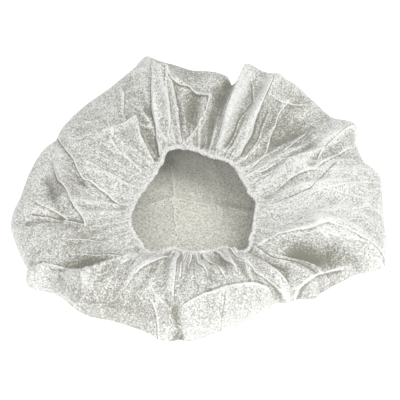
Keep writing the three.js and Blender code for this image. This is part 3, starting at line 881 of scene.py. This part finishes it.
def gathered_hem_tree():
    """A tube along a closed line, gathered into slanting ripples of uneven depth."""
    inputs = [
        ("Geometry", "Geometry", None),
        ("Width", "Float", 0.005),
        ("Height", "Float", 0.0034),
        ("Gathers", "Float", 120.0),
        ("Gather depth", "Float", 0.0004),
        ("Slant", "Float", 1.0),
        ("Along", "Int", 1400),
        ("Across", "Int", 16),
        ("Material", "Material", None),
    ]
    n, given, result = new_tree("gathered_hem", "GeometryNodeTree", inputs, [("Geometry", "Geometry")])
    line = n.add("GeometryNodeMeshToCurve", {"Mesh": given["Geometry"]})
    even = n.add("GeometryNodeResampleCurve", {"Curve": line["Curve"], "Count": given["Along"]})
    upright = n.add("GeometryNodeSetCurveNormal", {"Curve": even["Curve"]}, mode="Z_UP")
    place = n.add("GeometryNodeSplineParameter")["Factor"]
    route, along = n.keep(upright["Curve"], "along", place)
    circle = n.add("GeometryNodeCurvePrimitiveCircle", {"Resolution": given["Across"], "Radius": 0.5})
    size = n.add("ShaderNodeCombineXYZ", {"X": given["Width"], "Y": given["Height"], "Z": 1})
    flattened = n.add("GeometryNodeTransform", {"Geometry": circle["Curve"], "Scale": size["Vector"]})
    turn_place = n.add("GeometryNodeSplineParameter")["Factor"]
    section, turn = n.keep(flattened["Geometry"], "turn", turn_place)
    tube = n.add("GeometryNodeCurveToMesh", {"Curve": route, "Profile Curve": section})

    # The ripples: a wave along the hem that slants round its section, of uneven spacing and depth
    uneven = n.noise(n.add("GeometryNodeInputPosition")["Position"], 120, 1)
    turns = n.math("MULTIPLY", along, given["Gathers"])
    slanted = n.math("MULTIPLY", turn, given["Slant"])
    phase = n.math("ADD", n.math("ADD", turns, slanted), n.math("MULTIPLY", uneven, 4.5))
    wave = n.math("SINE", n.math("MULTIPLY", phase, TURN))
    sharp = n.math("ABSOLUTE", n.math("SINE", n.math("MULTIPLY", phase, math.pi)))
    both = n.total((wave, 0.3), (sharp, 1.4))
    depth = n.math("MULTIPLY", given["Gather depth"], n.math("ADD", uneven, 0.5))
    out = n.math("MULTIPLY", n.math("SUBTRACT", both, 0.7), depth)
    facing = n.add("GeometryNodeInputNormal")["Normal"]
    offset = n.vector("SCALE", {0: facing, "Scale": out})["Vector"]
    moved = n.add("GeometryNodeSetPosition", {"Geometry": tube["Mesh"], "Offset": offset})
    smooth = n.add("GeometryNodeSetShadeSmooth", {0: moved["Geometry"]})
    real = n.add("GeometryNodeRealizeInstances", {"Geometry": smooth[0]})
    surface = {"Geometry": real["Geometry"], "Material": given["Material"]}
    n.link(n.add("GeometryNodeSetMaterial", surface)["Geometry"], result["Geometry"])
    return n.tree


def set_inputs(modifier, **values):
    """Sets a Geometry Nodes modifier's inputs by their names, with _ for a space."""
    for item in modifier.node_group.interface.items_tree:
        key = item.name.replace(" ", "_").lower()
        if item.item_type == "SOCKET" and item.in_out == "INPUT" and key in values:
            modifier[item.identifier] = values[key]


def make_hem(material):
    """The cloth turned over the elastic, a gathered tube round the mouth."""
    count = 180
    points = rim_line(count)
    mesh = bpy.data.meshes.new("gathered_hem")
    mesh.from_pydata(points.tolist(), [(i, (i + 1) % count) for i in range(count)], [])
    hem = bpy.data.objects.new("gathered_hem", mesh)
    bpy.context.scene.collection.objects.link(hem)
    ripples = hem.modifiers.new("gathers", "NODES")
    ripples.node_group = gathered_hem_tree()
    set_inputs(
        ripples,
        width=0.0036,
        height=0.0023,
        gathers=74.0,
        gather_depth=0.0006,
        slant=2.2,
        along=1500,
        across=16,
        material=material,
    )
    add_wall(hem)
    bake(hem)
    return hem


# Materials


def spunbond_group():
    """Spunbonded cloth: cloudy laydown, long curling filaments and a grid of small pressed points.

    The vector is a place on the flat cloth in metres, and Grain place one in space, for the finest grain.
    Density is 0 where the cloth is thin and 1 where it is thick, and height is in metres.
    """
    inputs = [
        ("Vector", "Vector", None),
        ("Grain place", "Vector", None),
        ("Cloud size", "Float", 0.004),
        ("Filament pitch", "Float", 0.0009),
        ("Point pitch", "Float", 0.0019),
        ("Grain size", "Float", 0.0008),
    ]
    outputs = [("Density", "Float"), ("Height", "Float")]
    n, given, result = new_tree("spunbond", "ShaderNodeTree", inputs, outputs)
    place = given["Vector"]
    cloud = n.ramp(n.noise(place, n.math("DIVIDE", 1.0, given["Cloud size"]), 4.0, 0.62, 0.3), 0.34, 0.66)
    filament_scale = n.math("DIVIDE", 0.5, given["Filament pitch"])
    strands = []
    for turn in (0.0, 1.1, 2.3):
        laid = {"Location": (turn, turn, turn), "Rotation": (0, 0, turn), "Scale": (1, 0.35, 1)}
        turned = n.add("ShaderNodeMapping", {"Vector": place, **laid})[0]
        wave = n.noise(turned, filament_scale, 1.0, 0.5, 0.8)
        strands.append(n.ramp(n.math("ABSOLUTE", n.math("SUBTRACT", wave, 0.5)), 0.05, 0.0))
    strand = n.math("MAXIMUM", n.math("MAXIMUM", strands[0], strands[1]), strands[2])
    grid = {"Vector": place, "Scale": n.math("DIVIDE", 1.0, given["Point pitch"]), "Randomness": 0.3}
    points = n.add("ShaderNodeTexVoronoi", grid, distance="MANHATTAN", voronoi_dimensions="2D")
    pressed = n.ramp(points["Distance"], 0.34, 0.22)
    grain_scale = n.math("DIVIDE", 1.0, given["Grain size"])
    grains = n.add("ShaderNodeTexVoronoi", {"Vector": given["Grain place"], "Scale": grain_scale})
    grain = n.add("ShaderNodeSeparateColor", {0: grains["Color"]})[0]
    density = n.total((cloud, 0.08), (strand, 0.12), (grain, 0.65), (pressed, -0.1))
    n.link(density, result["Density"])
    n.link(n.total((density, 0.00016), (pressed, -0.00006)), result["Height"])
    return n.tree


def crumple_highlight_group():
    """Painted highlights along the sharp crease lines of a crumpled sheet, longer from the middle outwards
    than round it.

    The vector is a place on the flat cloth in metres, from the sheet's middle. Line is 1 on a crease.
    """
    numbers = [("Round", "Float", 11.0), ("Outwards", "Float", 26.0), ("Seed", "Float", 0.0)]
    inputs = [("Vector", "Vector", None), *numbers]
    n, given, result = new_tree("crumple", "ShaderNodeTree", inputs, [("Line", "Float")])
    far = n.vector("LENGTH", {0: given["Vector"]})["Value"]
    heading = n.vector("NORMALIZE", {0: given["Vector"]})[0]
    turned = n.vector("SCALE", {0: heading, "Scale": given["Round"]})[0]
    outwards = n.math("ADD", n.math("MULTIPLY", far, given["Outwards"]), given["Seed"])
    place = n.vector("ADD", {0: turned, 1: n.add("ShaderNodeCombineXYZ", {"Z": outwards})[0]})[0]
    cells = n.add("ShaderNodeTexVoronoi", {"Vector": place, "Scale": 1.0}, feature="DISTANCE_TO_EDGE")
    line = n.ramp(cells["Distance"], 0.03, 0.0)
    some = n.ramp(n.noise(place, 0.6, 1.0), 0.42, 0.58)
    n.link(n.math("MULTIPLY", line, some), result["Line"])
    return n.tree


SPUNBOND = spunbond_group()
CRUMPLE = crumple_highlight_group()


# How much whiter each tone of the sheet makes it, for a whole one: painted highlight on ridges, painted shade
# in valleys and hollows, and double cloth with painted light and shade
WHITER_FOR_PAINTED_LIGHT_AND_LAYERS = {"ridge": 0.35, "valley": -0.2, "hollow": -0.16, "layers": 1.0}
BUNCHED_WHITE = 0.14
# A crease's line is a painted highlight with a painted shadow beside it, and the other way round for a sunken
# crease
LINE_HIGHLIGHT = 1.4
LINE_SHADOW = 0.8  # painted shadow beside a crease's line, on its steep side
LINE_HALF = 0.0007
SHADOW_OFF = 0.0012  # how far the middle of the painted shadow lies from the line
SHADOW_HALF = 0.0009
LINE_SHARP = 0.0003
LINE_END = (0.004, 0.002)
TONE_AND_PAINTED_LIGHT_SHARE = 0.75
MIDDLE_WHITE = 0.55
FIBRE_WHITE = 1.6
FIBRE_MIDDLE = 0.38  # the mean density of the web

# Fine crease lines painted on as highlights, where the geometry has none
CRUMPLE_HIGHLIGHTS = table(["round", "outwards", "seed", "white"], [
    [7.0, 16.0, 0.0, 0.5],
    [15.0, 34.0, 9.0, 0.3],
])


def new_material(name, values):
    """A material, its nodes and its shader's inputs, with some of those set by their names."""
    material = bpy.data.materials.new(name)
    material.use_nodes = True
    shader = material.node_tree.nodes["Principled BSDF"].inputs
    for label, value in values.items():
        shader[label].default_value = value
    return material, Nodes(material.node_tree), shader


def sheet_tone_and_painted_light(n, place):
    """How much whiter the sheet shows at its flat place: for gathers and double cloth, and as painted
    highlight on ridges and creases and painted shade in valleys, hollows, pockets and beside creases.
    """
    bunched = n.ramp(n.attribute("gathered"), 0.45, 0.9)
    parts = [(bunched, BUNCHED_WHITE), *((n.attribute(name), share) for name, share in WHITER_FOR_PAINTED_LIGHT_AND_LAYERS.items())]
    # Painted crease lines: highlight on the line, shadow beside it on the steep side
    side = n.attribute("crease_side")
    on_line = n.ramp(n.math("ABSOLUTE", side), LINE_HALF, LINE_SHARP)
    beside = n.ramp(n.math("ABSOLUTE", n.math("SUBTRACT", side, SHADOW_OFF)), SHADOW_HALF, LINE_SHARP)
    line = n.total((on_line, LINE_HIGHLIGHT), (beside, -LINE_SHADOW))
    near = n.ramp(n.attribute("crease_far"), *LINE_END)
    parts.append((line, n.math("MULTIPLY", n.attribute("crease_strength"), near)))
    middle = (SHEET_SPAN / 2, SHEET_SPAN / 2, 0)
    from_middle = n.vector("SUBTRACT", {0: place, 1: middle})[0]
    # Painted highlights of fine creases
    for row in CRUMPLE_HIGHLIGHTS:
        values = {"Round": row["round"], "Outwards": row["outwards"], "Seed": row["seed"]}
        crumple = n.add("ShaderNodeGroup", {"Vector": from_middle, **values}, node_tree=CRUMPLE)
        parts.append((crumple["Line"], row["white"]))
    return n.total(*parts)


def cloth_material(name, thin_colour, thick_colour, thin_alpha, thick_alpha, on_sheet):
    """Spunbonded cloth, white where it is thick or gathered, greyer and clearer where it is thin, and on the
    sheet with painted highlight on ridges and creases and painted shade in valleys, hollows and pockets.

    On the sheet it lies by the flat place of each point. Elsewhere it lies by the place in space.
    """
    finish = {"Roughness": 0.8, "Specular IOR Level": 0.25, "Sheen Weight": 0.35, "Sheen Roughness": 0.4}
    material, n, shader = new_material(name, finish)
    in_space = n.add("ShaderNodeTexCoord")["Object"]
    place = in_space
    if on_sheet:
        flat = n.add("ShaderNodeUVMap", uv_map="flat_sheet")[0]
        place = n.vector("SCALE", {0: flat, "Scale": SHEET_SPAN})[0]
    cloth = n.add("ShaderNodeGroup", {"Vector": place, "Grain place": in_space}, node_tree=SPUNBOND)
    fibre = n.math("MULTIPLY", n.math("SUBTRACT", cloth["Density"], FIBRE_MIDDLE), FIBRE_WHITE)
    # The sheet's tone holds painted highlight and painted shade as well as gathers and double cloth
    shape = sheet_tone_and_painted_light(n, place) if on_sheet else 0.0
    white = n.math("ADD", fibre, n.math("MULTIPLY", shape, TONE_AND_PAINTED_LIGHT_SHARE))
    white = n.math("ADD", white, MIDDLE_WHITE, clamp=True)
    colour = n.mix(white, thin_colour, thick_colour)
    if on_sheet:
        inside = n.mix(white, (0.5, 0.49, 0.41, 1), (0.97, 0.96, 0.88, 1))
        colour = n.mix(n.attribute("floor"), colour, inside)
    n.link(colour, shader["Base Color"])
    span = n.math("MULTIPLY", white, thick_alpha - thin_alpha)
    n.link(n.math("ADD", span, thin_alpha, clamp=True), shader["Alpha"])
    relief = n.add("ShaderNodeBump", {"Strength": 0.7, "Distance": 1.0, "Height": cloth["Height"]})
    n.link(relief[0], shader["Normal"])
    return material


def elastic_material():
    """Covered elastic: lengthwise threads over a pale rubber core."""
    material, n, shader = new_material("elastic", {"Roughness": 0.6})
    threads = n.noise(n.add("ShaderNodeTexCoord")["Object"], 900.0, 2.0, 0.5)
    n.link(n.mix(threads, (0.78, 0.78, 0.74, 1), (0.93, 0.93, 0.9, 1)), shader["Base Color"])
    relief = n.add("ShaderNodeBump", {"Distance": 0.0002, "Height": threads})
    n.link(relief[0], shader["Normal"])
    return material


cloth_finish = cloth_material(
    "spunbond_cloth", (0.33, 0.325, 0.27, 1), (0.86, 0.86, 0.84, 1), 0.75, 1.0, on_sheet=True
)
hem_finish = cloth_material(
    "spunbond_hem", (0.6, 0.6, 0.57, 1), (0.9, 0.9, 0.88, 1), 0.95, 1.0, on_sheet=False
)

cloth = make_cloth()
cloth.data.materials.clear()
cloth.data.materials.append(cloth_finish)
hem = make_hem(hem_finish)
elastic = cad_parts["elastic"]
elastic.material_slots[0].material = elastic_material()

# The stage: a pale floor, soft light and the camera

FLOOR_SIDE = 6.0
FLOOR_GLOW = 0.5  # the floor is lit from behind, as a light table is, so that it shows white


def make_floor():
    half = FLOOR_SIDE / 2
    corners = [(-half, -half, 0), (half, -half, 0), (half, half, 0), (-half, half, 0)]
    floor = make_object("floor", corners, [(0, 1, 2, 3)])
    look = {"Base Color": (0.93, 0.93, 0.93, 1), "Roughness": 0.9}
    glow = {"Emission Color": (1, 1, 1, 1), "Emission Strength": FLOOR_GLOW}
    material, _, _ = new_material("pale_floor", {**look, **glow})
    floor.data.materials.append(material)
    return floor


def soft_light(name, place, side, power):
    """A square soft light aimed at the cap."""
    data = bpy.data.lights.new(name, "AREA")
    data.shape = "SQUARE"
    data.size = side
    data.energy = power
    light = bpy.data.objects.new(name, data)
    light.location = place
    light.rotation_euler = (Vector((0, 0, 0.03)) - Vector(place)).to_track_quat("-Z", "Y").to_euler()
    bpy.context.scene.collection.objects.link(light)
    return light


CAMERA_DISTANCE = 1.5
CAMERA_ELEVATION = math.radians(50)
SENSOR = 0.036
PHOTO_SIDE = 400
METRES_PER_PIXEL = CAP_REACH * 2 / 374  # the cap spans 374 pixels of the photograph
AIM_FROM_MOUTH = Vector((0.0020, 0.0095, 0.030))  # the point of the cap that is at the aim pixel
AIM_PIXEL = (197, 199)


def make_camera():
    data = bpy.data.cameras.new("camera")
    data.sensor_width = SENSOR * 1000
    data.lens = data.sensor_width * CAMERA_DISTANCE / (PHOTO_SIDE * METRES_PER_PIXEL)
    camera = bpy.data.objects.new("camera", data)
    bpy.context.scene.collection.objects.link(camera)
    back = Vector((0, -math.cos(CAMERA_ELEVATION), math.sin(CAMERA_ELEVATION)))
    up = Vector((0, math.sin(CAMERA_ELEVATION), math.cos(CAMERA_ELEVATION)))
    right_shift = (PHOTO_SIDE / 2 - AIM_PIXEL[0]) * METRES_PER_PIXEL
    up_shift = (AIM_PIXEL[1] - PHOTO_SIDE / 2) * METRES_PER_PIXEL
    aim = MOUTH + AIM_FROM_MOUTH + Vector((right_shift, 0, 0)) + up * up_shift
    camera.location = aim + back * CAMERA_DISTANCE
    camera.rotation_euler = (-back).to_track_quat("-Z", "Y").to_euler()
    bpy.context.scene.camera = camera
    return camera


def set_stage():
    make_floor()
    soft_light("key", (0.6, -0.1, 1.1), 0.6, 5.6)
    soft_light("fill", (-0.2, -1.0, 0.9), 0.7, 5.2)
    world = bpy.data.worlds.new("studio")
    world.use_nodes = True
    sky = world.node_tree.nodes["Background"]
    sky.inputs["Color"].default_value = (1, 1, 1, 1)
    sky.inputs["Strength"].default_value = 0.63
    bpy.context.scene.world = world
    bpy.context.scene.view_settings.view_transform = "Standard"
    make_camera()


set_stage()

for piece, node, slot in ((cloth, "crown", "cloth"), (hem, "hem", "hem_cloth")):
    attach(piece, "root")
    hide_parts(node)
